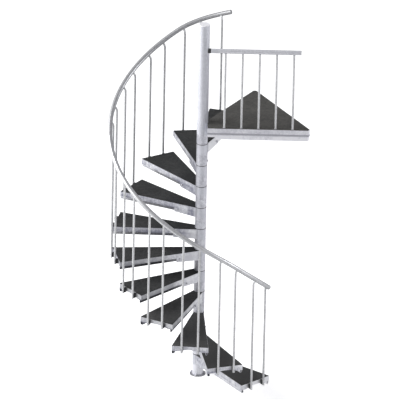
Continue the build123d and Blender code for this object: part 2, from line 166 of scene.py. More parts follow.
class NodeSheet:
    """Node tree of one material or of the surround, with the places that its looks depend on."""

    def __init__(self, owner: Union[bpy.types.Material, bpy.types.World]) -> None:
        """Empty the owner's node tree.

        Args:
            owner: The material or the world.
        """
        owner.use_nodes = True
        self.owner = owner
        surround = isinstance(owner, bpy.types.World)
        self.output = "ShaderNodeOutputWorld" if surround else "ShaderNodeOutputMaterial"
        self.tree = owner.node_tree
        self.tree.nodes.clear()

    def node(
        self,
        kind: str,
        settings: dict[str, Any] | None = None,
        sockets: dict[SocketKey, Any] | None = None,
    ) -> bpy.types.Node:
        """Add any node.

        Args:
            kind: Blender's name for the node's type.
            settings: The node's own settings, set before its sockets.
            sockets: Values or signals for its inputs, by name or number.

        Returns:
            The new node.
        """
        made = self.tree.nodes.new(kind)
        for name, setting in (settings or {}).items():
            setattr(made, name, setting)
        for name, value in (sockets or {}).items():
            socket = made.inputs[name]
            if isinstance(value, Signal):
                self.tree.links.new(value.socket, socket)
            else:
                socket.default_value = value
        return made

    def out(self, made: bpy.types.Node, output: SocketKey = 0) -> Signal:
        """Signal of one of a node's outputs."""
        return Signal(self, made.outputs[output])

    def maths(self, kind: str, first: Value, second: Value = 0.0, held: bool = False) -> Signal:
        """Result of one Math node, which can be held between 0 and 1."""
        settings = {"operation": kind, "use_clamp": held}
        return self.out(self.node("ShaderNodeMath", settings, {0: first, 1: second}))

    def vector(self, kind: str, *vectors: Union[Signal, Colour]) -> Signal:
        """Result of one Vector Math node."""
        sockets = dict(enumerate(vectors))
        return self.out(self.node("ShaderNodeVectorMath", {"operation": kind}, sockets))

    @cached_property
    def place(self) -> Signal:
        """Position on the stair, in metres."""
        return self.out(self.node("ShaderNodeTexCoord"), "Object")

    @cached_property
    def xyz(self) -> tuple[Signal, ...]:
        """The position's coordinates."""
        split = self.node("ShaderNodeSeparateXYZ", {}, {0: self.place})
        return tuple(self.out(split, index) for index in range(3))

    @cached_property
    def radius(self) -> Signal:
        """Distance from the column's axis."""
        return self.maths("SQRT", self.xyz[0] ** 2.0 + self.xyz[1] ** 2.0)

    def towards(self, heading: Heading) -> Signal:
        """How far the position lies towards a heading in plan, times the heading's length."""
        return heading[0] * self.xyz[0] + heading[1] * self.xyz[1]

    def warped(self, scale: float, reach: float) -> Signal:
        """Push the position about by a soft noise.

        Args:
            scale: How many bumps of noise there are to a metre.
            reach: How far the position is pushed, in metres.

        Returns:
            The pushed position.
        """
        sockets = {"Vector": self.place, "Scale": scale, "Detail": 2.0}
        noise = self.out(self.node("ShaderNodeTexNoise", {}, sockets), "Color")
        push = self.vector("MULTIPLY_ADD", noise, 3 * (reach,), 3 * (-reach / 2,))
        return self.vector("ADD", self.place, push)

    def stretched(self, x: float, y: float, z: float) -> Signal:
        """The position multiplied by a number along each axis."""
        return self.vector("MULTIPLY", self.place, (x, y, z))

    def noise(self, place: Signal, scale: float, detail: float, rough: float = 0.5) -> Signal:
        """Soft noise between 0 and 1: bumps to a metre, finer layers and their strength."""
        sockets = {"Vector": place, "Scale": scale, "Detail": detail, "Roughness": rough}
        return self.out(self.node("ShaderNodeTexNoise", {}, sockets))

    def crystals(self, place: Signal, scale: float) -> Signal:
        """Grey level of each crystal, one random level to a cell."""
        cells = self.node("ShaderNodeTexVoronoi", {}, {"Vector": place, "Scale": scale})
        return self.out(self.node("ShaderNodeSeparateColor", {}, {0: self.out(cells, "Color")}))

    def borders(self, place: Signal, scale: float) -> Signal:
        """Distance to the nearest border between crystals."""
        settings, sockets = {"feature": "DISTANCE_TO_EDGE"}, {"Vector": place, "Scale": scale}
        return self.out(self.node("ShaderNodeTexVoronoi", settings, sockets), "Distance")

    def blend(
        self, share: Value, first: Union[Colour, Signal], second: Union[Colour, Signal]
    ) -> Signal:
        """Mix two colours.

        Args:
            share: How much of the second colour there is.
            first: The first colour.
            second: The second colour.

        Returns:
            The mixed colour.
        """
        sockets: dict[SocketKey, Any] = {0: share}
        for index, colour in ((6, first), (7, second)):
            sockets[index] = colour if isinstance(colour, Signal) else (*colour, 1.0)
        return self.out(self.node("ShaderNodeMix", {"data_type": "RGBA"}, sockets), 2)

    def relief(self, height: Signal, depth: float, strength: float) -> Signal:
        """Normal of a fine relief: its height, how deep a height of 1 is, and its strength."""
        sockets = {"Strength": strength, "Distance": depth, "Height": height}
        return self.out(self.node("ShaderNodeBump", {}, sockets))

    def shader(self, kind: str, sockets: dict[str, Any]) -> Signal:
        """Result of one shader node."""
        return self.out(self.node(kind, {}, sockets))

    def felt_and_seen(self, felt: Signal, seen: Signal) -> Signal:
        """Mix the shader that lights the stair with the one that a direct look meets."""
        direct = self.out(self.node("ShaderNodeLightPath"), "Is Camera Ray")
        return self.out(self.node("ShaderNodeMixShader", {}, {0: direct, 1: felt, 2: seen}))

    def finished(self, surface: Signal) -> Union[bpy.types.Material, bpy.types.World]:
        """Give the owner its surface, and hand it back."""
        self.node(self.output, {}, {"Surface": surface})
        return self.owner

    def surfaced(self, sockets: dict[str, Any]) -> bpy.types.Material:
        """The material, with values or signals for its surface shader."""
        return self.finished(self.shader("ShaderNodeBsdfPrincipled", sockets))


# Finishes


@dataclass(frozen=True)
class Zinc:
    """Hot-dip galvanised steel: spangled crystals, cloudy patches and faint upright runs, with
    shares of painted shade towards the far side and on the column's side towards the flight, and of
    painted light near the floor.

    A scale is in patches to a metre, and a share is how much of a patch shows.
    """

    name: str
    bright: Colour
    dull: Colour
    crystal_scale: float = 62.0
    crystal_share: float = 0.42
    cloud_scale: float = 7.0
    cloud_share: float = 0.75
    roughness: float = 0.42
    run_share: float = 0.16
    metallic: float = 0.82
    relief_depth: float = 0.0006
    # painted shade: how much darker the zinc turns towards the far (+Y) side, over far_span
    far_shade_share: float = 0.0
    far_span: float = 0.8333
    # painted light: how much lighter the zinc turns towards the floor, below the next height
    foot_light_share: float = 0.0
    foot_height: float = 0.25
    # painted shade on the column's side towards the flight: its share, heading and colour
    flight_shade_share: float = 0.0
    flight_shade_heading: Heading = (-0.87, 0.49)
    flight_shade_colour: Colour = (0.10, 0.10, 0.12)

    def painted_flight_shade(self, sheet: NodeSheet, colour: Signal) -> Signal:
        """Paint shade on the column's side towards the flight, where the flight's shadow falls.

        Args:
            sheet: The material's node tree.
            colour: The zinc's colour.

        Returns:
            The colour, darker on that side and above the foot.
        """
        if not self.flight_shade_share:
            return colour
        side = sheet.towards(self.flight_shade_heading).between(0.0159, 0.0476)
        above_foot = sheet.xyz[2].between(0.20, 0.45)
        return sheet.blend(self.flight_shade_share * side * above_foot, colour, self.flight_shade_colour)

    def tone(self, sheet: NodeSheet, level: Signal) -> dict[str, Value]:
        """Colour and metal share for a level of brightness."""
        colour = sheet.blend(level.held(), self.dull, self.bright)
        return {"Base Color": self.painted_flight_shade(sheet, colour), "Metallic": self.metallic}

    def material(self) -> bpy.types.Material:
        """Make the zinc.

        Returns:
            The material.
        """
        sheet = NodeSheet(bpy.data.materials.new(self.name))
        bent = sheet.warped(scale=38.0, reach=0.012)
        large = sheet.crystals(bent, self.crystal_scale)
        small = sheet.crystals(bent, 2.6 * self.crystal_scale)
        spangle = 0.62 * large + 0.38 * small
        clouds = sheet.noise(sheet.place, self.cloud_scale, detail=4.0, rough=0.55)
        cloud = clouds.between(0.32, 0.68)
        runs = sheet.noise(sheet.stretched(46.0, 46.0, 3.0), scale=1.0, detail=2.0)
        # the level carries painted shade towards the far side and painted light near the floor, on
        # top of crystals, clouds and runs
        level = (
            1.0
            - self.far_shade_share * sheet.xyz[1].between(0.0, self.far_span)
            + self.foot_light_share * sheet.xyz[2].between(self.foot_height, 0.0)
            - self.crystal_share * (1.0 - spangle)
            - self.cloud_share * 0.5 * (1.0 - cloud)
            - self.run_share * (runs - 0.5)
        )
        edges = sheet.borders(bent, self.crystal_scale).between(0.0, 0.06)
        grain = sheet.noise(sheet.place, scale=900.0, detail=2.0)
        height = 0.5 * large + 0.2 * edges + 0.3 * grain
        roughness = self.roughness + 0.14 * (0.5 - spangle) + 0.10 * (1.0 - cloud)
        return sheet.surfaced(
            {
                **self.tone(sheet, level),
                "Roughness": roughness.held(),
                "Normal": sheet.relief(height, self.relief_depth, strength=0.35),
            }
        )


@dataclass(frozen=True)
class SteppedZinc(Zinc):
    """Zinc on folded sheet: a blotched band over each fold, its blotches darker towards the fold,
    and painted shade on the hem under it.

    Painted shade dulls one side of the flight, painted light brightens the other side, painted
    light on the cheeks, greyer bands and painted shade on the hems mark some treads, and the hubs
    have the column's zinc.
    """

    pitch: float = 0.210
    fold: float = 0.049
    fold_blur: float = 0.00278
    # painted shade on the hem under the fold; below 0 it is painted light
    hem_shade_share: float = 0.46
    blotch_scale: float = 13.0
    blotch_share: float = 0.70
    # painted shade on the side of the flight along this heading
    side_shade_share: float = 0.22
    side_shade_heading: Heading = (-1.0, 0.3)
    # painted light on the flight's opposite side, past this limit
    side_light_share: float = 0.70
    side_light_limit: float = 0.2
    # painted light on the cheeks, a greyer band and painted shade on the hem of the treads along
    # this heading
    light_and_shade_share: float = 0.50
    light_and_shade_heading: Heading = (-1.0, -1.0)
    grey_band: Colour = (0.47, 0.475, 0.47)
    hem_shade_colour: Colour = (0.035, 0.036, 0.032)
    hub: Zinc | None = None
    hub_radius: float = 0.0528

    def shade(self, sheet: NodeSheet, blotch: Signal, drop: Signal, hem_part: Signal) -> Signal:
        """How much painted shade dims the sheet under its crystals' level.

        Args:
            sheet: The material's node tree.
            blotch: Where the blotches are.
            drop: Distance down from the walking surface.
            hem_part: 1 under the fold, and 0 on the band over it.

        Returns:
            The shade: blotches, darker towards the fold, with painted shade on the hem and on one
                side of the flight; it is below 0 where painted light brightens the other side.
        """
        side = sheet.towards(self.side_shade_heading) / sheet.radius
        # painted shade on one side of the flight
        one_side_shade = self.side_shade_share * side.between(0.55, 1.0045)
        # painted light on the opposite side of the flight
        other_side_light = side.between(-self.side_light_limit, -self.side_light_limit - 0.3333)
        near_side = sheet.xyz[1].between(0.3333, 0.0)
        raised = sheet.xyz[2].between(0.0, 0.7143)
        # painted shade on the hem, on the flight's near side and above the lowest treads
        hem = (self.hem_shade_share * (0.45 + 0.75 * blotch) + one_side_shade) * near_side * raised
        band = self.blotch_share * blotch * (0.10 + drop.between(0.0, self.fold) ** 2.5) + one_side_shade
        shade_where_unlit = (hem_part * hem + (1.0 - hem_part) * band) * (1.0 - other_side_light)
        return shade_where_unlit - self.side_light_share * other_side_light

    def painted_light_and_shade(self, sheet: NodeSheet, colour: Signal, hem_part: Signal) -> Signal:
        """Paint light and shade on the treads along one heading: painted light on the cheeks, a
        greyer band and painted shade on the hem.

        Args:
            sheet: The material's node tree.
            colour: The sheet's colour.
            hem_part: 1 under the fold, and 0 on the band over it.

        Returns:
            The colour with the painted light and shade.
        """
        if not self.light_and_shade_share:
            return colour
        side = (sheet.towards(self.light_and_shade_heading) / sheet.radius).between(0.6333, 0.9667)
        lit_and_shaded = self.light_and_shade_share * side * sheet.xyz[2].between(0.60, 0.85)
        past_cheek = sheet.radius.between(0.275, 0.40)
        # painted light on the cheeks near the column
        colour = sheet.blend(1.2 * lit_and_shaded * (1.0 - past_cheek), colour, self.bright)
        colour = sheet.blend(lit_and_shaded * past_cheek * (1.0 - hem_part), colour, self.grey_band)
        # painted shade on the hems past the cheeks
        return sheet.blend(1.5 * lit_and_shaded * past_cheek * hem_part, colour, self.hem_shade_colour)

    def tone(self, sheet: NodeSheet, level: Signal) -> dict[str, Value]:
        """Colour and metal share, with the column's zinc at the hub.

        Args:
            sheet: The material's node tree.
            level: How bright the zinc is, from crystals, clouds and runs.

        Returns:
            The sockets that carry them.
        """
        blotches = sheet.noise(sheet.stretched(1.0, 1.0, 0.35), self.blotch_scale, 4.0, 0.62)
        blotch = blotches.between(0.40, 0.60)
        drop = self.pitch * (1.0 - sheet.maths("FRACT", sheet.xyz[2] * (1 / self.pitch)))
        hem_part = drop.between(self.fold - self.fold_blur, self.fold + self.fold_blur)
        shade = self.shade(sheet, blotch, drop, hem_part)
        painted = sheet.blend((level - shade).held(), self.dull, self.bright)
        # painted light and shade on the treads along one heading
        painted = self.painted_light_and_shade(sheet, painted, hem_part)
        near = sheet.blend((level - 0.15 * blotch).held(), self.hub.dull, self.hub.bright)
        # painted shade on the hub's side towards the flight
        near = self.painted_flight_shade(sheet, near)
        outside = sheet.radius.above(self.hub_radius)
        metal = self.hub.metallic + (self.metallic - self.hub.metallic) * outside
        return {"Base Color": sheet.blend(outside, near, painted), "Metallic": metal}


@dataclass(frozen=True)
class Mat:
    """Dark deck mat: granular, worn and dusty in patches, lighter near the ground from a painted
    sheen, and clean by the column.
    """

    name: str
    dark: Colour
    worn: Colour
    # painted sheen: how much lighter the mat turns towards the floor, below the next height
    low_sheen_share: float = 0.0
    sheen_height: float = 0.90
    clean_share: float = 0.0
    clean_radius: float = 0.4545
    roughness: float = 0.72

    def material(self) -> bpy.types.Material:
        """Make the mat.

        Returns:
            The material.
        """
        sheet = NodeSheet(bpy.data.materials.new(self.name))
        place = sheet.place
        grain = sheet.noise(place, scale=620.0, detail=3.0, rough=0.7)
        specks = sheet.crystals(place, scale=190.0)
        wear = sheet.noise(place, scale=6.5, detail=4.0, rough=0.6).between(0.38, 0.72)
        dust = sheet.noise(place, scale=34.0, detail=5.0, rough=0.72).between(0.36, 0.64)
        low = sheet.xyz[2].between(self.sheen_height, 0.0) ** 0.5
        clean = sheet.radius.between(self.clean_radius, 0.0)
        marks = 0.25 * wear + 0.40 * dust + 0.40 * (specks - 0.4)
        # the height term is a painted sheen, lighter towards the floor
        share = marks + self.low_sheen_share * low - self.clean_share * clean
        return sheet.surfaced(
            {
                "Base Color": sheet.blend(share.held(), self.dark, self.worn),
                "Roughness": (self.roughness + 0.16 * (grain - 0.5)).held(),
                "Specular IOR Level": 0.22,
                "Normal": sheet.relief(0.6 * grain + 0.4 * specks, depth=0.0012, strength=0.6),
            }
        )


@dataclass(frozen=True)
class Moulding:
    """Moulded plastic or rubber with a fine eroded face and scuffs."""

    name: str
    dark: Colour
    scuffed: Colour
    roughness: float = 0.5

    def material(self) -> bpy.types.Material:
        """Make the moulding.

        Returns:
            The material.
        """
        sheet = NodeSheet(bpy.data.materials.new(self.name))
        grain = sheet.noise(sheet.place, scale=1500.0, detail=2.0)
        scuff = sheet.noise(sheet.place, scale=70.0, detail=4.0, rough=0.65).between(0.5, 0.8)
        return sheet.surfaced(
            {
                "Base Color": sheet.blend(scuff, self.dark, self.scuffed),
                "Roughness": (self.roughness + 0.18 * scuff + 0.1 * (grain - 0.5)).held(),
                "Normal": sheet.relief(grain, depth=0.0002, strength=0.5),
            }
        )


@dataclass(frozen=True)
class Sweep:
    """Pale matt floor of the studio."""

    name: str
    shade: Colour = (0.90, 0.90, 0.905)
    glow: float = 0.50
    bounce: float = 0.80

    def material(self) -> bpy.types.Material:
        """Make the floor's paint, which throws back less light than it seems to.

        Returns:
            The material.
        """
        sheet = NodeSheet(bpy.data.materials.new(self.name))
        mottle = sheet.noise(sheet.place, scale=3.0, detail=3.0)
        tint = tuple(0.97 * channel for channel in self.shade)
        sockets = {
            "Base Color": sheet.blend(mottle, self.shade, tint),
            "Roughness": 0.9,
            "Specular IOR Level": 0.1,
            "Emission Color": (1.0, 1.0, 1.0, 1.0),
            "Emission Strength": self.glow,
        }
        seen = sheet.shader("ShaderNodeBsdfPrincipled", sockets)
        felt = sheet.shader("ShaderNodeBsdfDiffuse", {"Color": (*3 * (self.bounce,), 1.0)})
        return sheet.finished(sheet.felt_and_seen(felt, seen))


Finish = Union[Zinc, Mat, Moulding, Sweep]


@cache
def material_of(finish: Finish) -> bpy.types.Material:
    """Material of a finish, made once."""
    return finish.material()


COLUMN_ZINC = Zinc(
    "zinc_on_column",
    (0.69, 0.70, 0.75),
    (0.51, 0.52, 0.57),
    cloud_share=0.5,
    roughness=0.48,
    metallic=0.58,
)
# painted light: a lighter, less metallic copy of the column's zinc, so the cap's top reads as lit
LIT_CAP_ZINC = replace(
    COLUMN_ZINC,
    name="lit_zinc_on_cap",
    bright=(0.94, 0.94, 0.97),
    dull=(0.80, 0.80, 0.84),
    roughness=0.42,
    metallic=0.15,
)
SLEEVE_ZINC = Zinc(
    "zinc_on_sleeves",
    (0.80, 0.805, 0.85),
    (0.28, 0.285, 0.34),
    crystal_scale=90.0,
    cloud_scale=28.0,
    metallic=0.50,
    # painted light on the lowest sleeve, near the floor
    foot_light_share=1.0,
    # painted shade on the sleeves' side towards the flight
    flight_shade_share=0.50,
)
# painted shadow: darkened zinc that stands for the contact shadow round the column's foot
SHADED_PLATE_ZINC = Zinc("shaded_zinc_on_plate", (0.36, 0.36, 0.38), (0.20, 0.20, 0.22), metallic=0.6)
TREAD_ZINC = SteppedZinc(
    "zinc_on_treads",
    (0.90, 0.905, 0.93),
    (0.28, 0.285, 0.35),
    run_share=0.36,
    roughness=0.40,
    metallic=0.86,
    # painted shade on the hubs' side towards the flight
    flight_shade_share=0.46,
    hub=COLUMN_ZINC,
)
LANDING_ZINC = SteppedZinc(
    "zinc_on_landing",
    (0.90, 0.90, 0.94),
    (0.52, 0.52, 0.58),
    pitch=2.520,
    fold=0.070,
    # below 0: painted light on the rim under the band
    hem_shade_share=-0.6,
    blotch_share=0.25,
    # a limit this far keeps the painted light of the other side off the landing
    side_light_limit=2.0,
    light_and_shade_share=0.0,
    hub=COLUMN_ZINC,
)
TUBE_ZINC = Zinc(
    "zinc_on_tube",
    (0.76, 0.765, 0.775),
    (0.34, 0.345, 0.355),
    crystal_scale=110.0,
    cloud_scale=11.0,
    cloud_share=0.5,
    roughness=0.43,
    metallic=0.9,
    # painted shade: darker towards the far side of the flight
    far_shade_share=0.40,
)
RAIL_ZINC = replace(
    TUBE_ZINC,
    name="zinc_on_handrail",
    bright=(0.73, 0.735, 0.75),
    dull=(0.29, 0.295, 0.305),
    roughness=0.40,
    # painted shade: darker towards the far side of the flight
    far_shade_share=0.35,
)
GUARD_ZINC = replace(
    TUBE_ZINC,
    name="zinc_on_guard_rail",
    bright=(0.82, 0.825, 0.865),
    dull=(0.42, 0.425, 0.465),
    roughness=0.42,
    metallic=0.55,
    far_shade_share=0.0,
)
FASTENER_ZINC = Zinc(
    "zinc_on_fasteners",
    (0.66, 0.66, 0.70),
    (0.40, 0.40, 0.44),
    crystal_scale=240.0,
    cloud_scale=40.0,
    roughness=0.32,
    metallic=0.95,
    relief_depth=0.0002,
)
WELD_ZINC = Zinc(
    "zinc_on_welds",
    (0.58, 0.58, 0.63),
    (0.36, 0.36, 0.40),
    crystal_scale=300.0,
    cloud_scale=60.0,
    roughness=0.55,
    metallic=0.8,
)
TREAD_MAT = Mat(
    "anthracite_tread_mat",
    dark=(0.018, 0.019, 0.020),
    worn=(0.067, 0.067, 0.066),
    # painted sheen on the lower treads' mats
    low_sheen_share=1.2,
    clean_share=0.4,
)
LANDING_MAT = Mat("anthracite_landing_mat", (0.052, 0.051, 0.049), (0.118, 0.114, 0.106))
BLACK_PLASTIC = Moulding("black_plastic", (0.022, 0.022, 0.024), (0.06, 0.06, 0.062))
RING_RUBBER = Moulding("grey_ring_rubber", (0.018, 0.018, 0.022), (0.045, 0.045, 0.050), 0.7)
# painted shadow: grey strip that stands for the shade under the landing's proud band
SHADOW_STRIP = Moulding("grey_shadow_strip", (0.36, 0.36, 0.40), (0.44, 0.44, 0.48), 0.6)


# Forming

BEAD_SIDES = 7
BEAD_TAPER = 0.45
WELD_SHARP = 60.0


class Forming:
    """Turned, pressed and welded forms that together make one piece."""

    def __init__(self, name: str, finish: Finish, slot: Slot = Slot.SHEET) -> None:
        """Start an empty piece.

        Args:
            name: The piece's name.
            finish: Its finish.
            slot: Its material slot; not used.
        """
        self.name = name
        self.finish = finish
        self.slot = slot
        self.mesh = bmesh.new()

    def turned(self, place: Matrix, profile: Pairs, sides: int, closed: bool = False) -> None:
        """Turn a profile round the local Z axis.

        Args:
            place: Where the form goes.
            profile: Points of (radius, height); a radius of 0 is a point on the axis.
            sides: How many sides the round has; 6 makes a hexagon.
            closed: Whether the last point joins the first, as round a ring.
        """
        rings = []
        for radius, height in profile:
            points = circle(radius, height, sides if radius else 1, first=0.5)
            rings.append([self.mesh.verts.new(place @ point) for point in points])
        self.stitch(rings, closed)

    def bead(
        self, points: Sequence[Vector], radius: float, seed: int, closed: bool = False
    ) -> None:
        """Lay a weld bead along a path.

        Args:
            points: The path.
            radius: The bead's usual radius.
            seed: Seed of the bead's uneven width.
            closed: Whether the bead runs back to its start.
        """
        ripple = random.Random(seed)
        count = len(points)
        rings = []
        for index, point in enumerate(points):
            ahead = points[(index + 1) % count] if closed or index < count - 1 else point
            behind = points[index - 1] if closed or index > 0 else point
            width = radius * (1 + 0.16 * math.sin(2.2 * index) + ripple.uniform(-0.09, 0.09))
            if not closed and index in (0, count - 1):
                width *= BEAD_TAPER
            place = facing(point, ahead - behind)
            rings.append([place @ corner for corner in circle(width, 0.0, BEAD_SIDES)])
        self.skin(rings, closed)

    def skin(self, rings: Sequence[Sequence[Vector]], closed: bool = False) -> None:
        """Join rings of points, which all have as many points, into one form.

        Args:
            rings: The rings, in order along the form.
            closed: Whether the last ring joins the first; otherwise both ends are flat.
        """
        made = [[self.mesh.verts.new(point) for point in ring] for ring in rings]
        if not closed:
            self.mesh.faces.new(made[0])
            self.mesh.faces.new(made[-1])
        self.stitch(made, closed)

    def stitch(self, rings: Sequence[Sequence[bmesh.types.BMVert]], closed: bool) -> None:
        """Make the faces between rings of corners.

        Args:
            rings: The rings, in order along the form; a ring of one corner is a point.
            closed: Whether the last ring joins the first.
        """
        pairs = list(zip(rings, rings[1:]))
        if closed:
            pairs.append((rings[-1], rings[0]))
        for lower, upper in pairs:
            sides = max(len(lower), len(upper))
            for side in range(sides):
                after = (side + 1) % sides
                corners = [lower[side % len(lower)], lower[after % len(lower)]]
                corners += [upper[after % len(upper)], upper[side % len(upper)]]
                self.mesh.faces.new(dict.fromkeys(corners))

    def piece(self, sharp: float = 32.0) -> None:
        """Finish the piece and fix it to the stair.

        Args:
            sharp: Edges that turn by more than this many degrees stay sharp.
        """
        bmesh.ops.recalc_face_normals(self.mesh, faces=self.mesh.faces)
        data = bpy.data.meshes.new(self.name)
        self.mesh.to_mesh(data)
        self.mesh.free()
        data.shade_smooth()
        data.set_sharp_from_angle(angle=math.radians(sharp))
        data.materials.append(material_of(self.finish))
        made = placed(self.name, data)
        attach(made, BODY)
        LOG.info("%s: %d faces", self.name, len(data.polygons))


def dress(nodes: Iterable[str], finish: Finish) -> None:
    """Give nodes of the frame a finish.

    Args:
        nodes: The nodes' names.
        finish: Their finish.
    """
    for node in nodes:
        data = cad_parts[node].data
        data.materials.clear()
        data.materials.append(material_of(finish))
        LOG.info("%s: %s", node, finish.name)


# Fixings

HEXAGON = 6
ROUND = 28


class Fixing(Protocol):
    """Small part seated on local zero, with its head along +Z."""

    def rounds(self) -> list[tuple[Pairs, int]]:
        """Profile and number of sides of each round that it is made of."""


def fasten(name: str, fixing: Fixing, seats: Iterable[tuple[float, Matrix]]) -> None:
    """Make one piece of many equal fixings.

    Args:
        name: The piece's name.
        fixing: What is fitted.
        seats: Degrees that each one's hexagon is turned by, and where it sits.
    """
    forming = Forming(name, FASTENER_ZINC)
    for spin, seat in seats:
        for profile, sides in fixing.rounds():
            place = seat @ turn(spin, Axis.Z) if sides == HEXAGON else seat
            forming.turned(place, profile, sides)
    forming.piece()


@dataclass(frozen=True)
class HexBolt:
    """Hexagon head on a washer, with a raised mark on its crown."""

    across_corners: float
    head: float
    washer_radius: float
    washer: float = 0.0016
    mark: float = 0.0004

    def rounds(self) -> list[tuple[Pairs, int]]:
        """Make the bolt's profiles.

        Returns:
            The washer, the head and the mark.
        """
        rim, seat, edge = self.washer_radius, self.washer, 0.25 * self.washer
        radius, top = self.across_corners / 2, self.washer + self.head
        crown, high = 0.87 * radius, top + self.mark
        return [
            ([(rim, 0), (rim, seat - edge), (rim - edge, seat), (0, seat)], ROUND),
            ([(radius, seat), (radius, top - 0.16 * radius), (crown, top), (0, top)], HEXAGON),
            ([(0.78 * crown, top), (0.72 * crown, high), (0, high)], 18),
        ]


@dataclass(frozen=True)
class DomeBolt:
    """Low round head with a socket."""

    radius: float
    height: float

    def rounds(self) -> list[tuple[Pairs, int]]:
        """Make the bolt's profile.

        Returns:
            The head, from its rim over the dome to the socket's floor.
        """
        steps, lean, sweep = 5, math.radians(12), math.radians(60)
        angles = [lean + sweep * step / steps for step in range(steps + 1)]
        wide = self.radius / math.cos(lean)
        dome = [(wide * math.cos(angle), self.height * math.sin(angle)) for angle in angles]
        top, floor, socket = dome[-1][1], 0.35 * self.height, 0.42 * self.radius
        lip = (1.12 * socket, top + 0.02 * self.height)
        inside = [lip, (socket, top), (socket, floor), (0, floor)]
        return [([(self.radius, 0.0), *dome, *inside], ROUND)]


@dataclass(frozen=True)
class AnchorNut:
    """Threaded stud with a nut and a washer."""

    stud_radius: float
    stud_height: float
    nut: HexBolt
    threads: int = 5

    def rounds(self) -> list[tuple[Pairs, int]]:
        """Make the anchor's profiles.

        Returns:
            The nut's and the stud's.
        """
        radius, seat = self.stud_radius, self.nut.washer + self.nut.head
        pitch = (self.stud_height - seat - 0.001) / self.threads
        stud = [(radius, seat)]
        for thread in range(self.threads):
            low = seat + thread * pitch
            stud += [(radius, low + 0.35 * pitch), (0.86 * radius, low + 0.85 * pitch)]
        stud += [(0.8 * radius, self.stud_height), (0, self.stud_height)]
        return [*self.nut.rounds(), (stud, 20)]


# The stair


@dataclass(frozen=True)
class StairPlan:
    """Places and sizes that the fixings share with the steel that carries them."""

    tread_count: int = 11
    rise: float = 0.210
    step_angle: float = 23.9
    top_tread_angle: float = 44.0
    column_radius: float = 0.0508
    column_height: float = 3.485
    tread_length: float = 0.782
    tread_half_width: float = 0.042
    edge_angle: float = 9.2
    baluster_radius: float = 0.010
    baluster_standoff: float = 0.028
    baluster_half_spacing: float = 0.074
    baluster_foot_drop: float = 0.055
    rail_radius: float = 0.0212

    @property
    def numbers(self) -> range:
        """Numbers of the treads, from the lowest."""
        return range(1, self.tread_count + 1)

    @property
    def first_angle(self) -> float:
        """Plan angle of the first tread."""
        return self.top_tread_angle + (self.tread_count - 1) * self.step_angle

    def tread(self, number: int) -> Matrix:
        """Placement of a tread: local +X along it, local zero at its walking surface."""
        angle = self.first_angle - (number - 1) * self.step_angle
        return turn(angle, Axis.Z) @ shift(0, 0, number * self.rise)

    @property
    def baluster_reach(self) -> float:
        """Distance of a baluster's axis from the column's, along its tread."""
        return self.tread_length + self.baluster_standoff

    def balusters(self) -> list[Matrix]:
        """Placements of the balusters beside the flight."""
        return [self.baluster(index) for index in range(2 * self.tread_count - 1)]

    def baluster(self, index: int) -> Matrix:
        """Placement of a baluster's axis at its tread's walking surface, local +X outward."""
        spacing = self.baluster_half_spacing * (1 if index % 2 == 0 else -1)
        return self.tread(index // 2 + 1) @ shift(self.baluster_reach, spacing, 0)

    def edge(self, number: int, side: int) -> Matrix:
        """Placement where a tread's edge, 1 or -1, meets the column: +X along it, +Y outward."""
        across = shift(0, side * self.tread_half_width, 0) @ turn(side * self.edge_angle, Axis.Z)
        return self.tread(number) @ across @ Matrix.Scale(side, 4, (0, 1, 0))


@dataclass
class Column:
    """Column: floor flange, pole, sleeves and cap, with its rings, anchors and foot weld."""

    plan: StairPlan
    ring_height: float = 0.0055
    ring_stand: float = 0.0011
    anchor_circle: float = 0.0619
    flange_top: float = 0.010
    anchor: AnchorNut = AnchorNut(0.004, 0.019, HexBolt(0.015, 0.0065, 0.0092))
    screw: DomeBolt = DomeBolt(0.007, 0.0016)
    screw_sink: float = 0.0018
    weld_radius: float = 0.0032

    def build(self) -> None:
        """Dress the column's steel and add its fixings."""
        dress(["centre_pole", "top_sleeve"], COLUMN_ZINC)
        # painted light on the cap
        dress(["column_cap"], LIT_CAP_ZINC)
        dress(["spacer_sleeves"], SLEEVE_ZINC)
        # painted shadow on the flange
        dress(["base_flange"], SHADED_PLATE_ZINC)
        self.joint_rings()
        self.anchors()
        self.foot_weld()
        self.cap_screw()

    def joint_rings(self) -> None:
        """Rubber rings on top of each hub, under the next sleeve."""
        forming = Forming("joint_rings", RING_RUBBER, Slot.PLASTIC)
        inner = self.plan.column_radius - 0.0006
        outer = self.plan.column_radius + self.ring_stand
        half = self.ring_height / 2
        soft = 0.4 * self.ring_stand
        profile = [(inner, -half), (outer - soft, -half), (outer, -half + soft)]
        profile += [(outer, half - soft), (outer - soft, half), (inner, half)]
        for number in self.plan.numbers:
            forming.turned(shift(0, 0, number * self.plan.rise), profile, sides=72, closed=True)
        forming.piece()

    def anchors(self) -> None:
        """Anchor studs and nuts in the flange's holes."""
        seat = shift(self.anchor_circle, 0, self.flange_top)
        seats = ((17.0 * quarter, turn(45 + 90 * quarter, Axis.Z) @ seat) for quarter in range(4))
        fasten("flange_anchors", self.anchor, seats)

    def foot_weld(self) -> None:
        """Weld bead between the flange and the lowest sleeve."""
        forming = Forming("foot_weld", WELD_ZINC)
        path = circle(self.plan.column_radius + 0.0008, self.flange_top + 0.0008, 96)
        forming.bead(path, self.weld_radius, seed=5, closed=True)
        forming.piece(WELD_SHARP)

    def cap_screw(self) -> None:
        """Sunk screw in the middle of the cap."""
        seat = shift(0, 0, self.plan.column_height - self.screw_sink)
        fasten("cap_screw", self.screw, [(0.0, seat)])


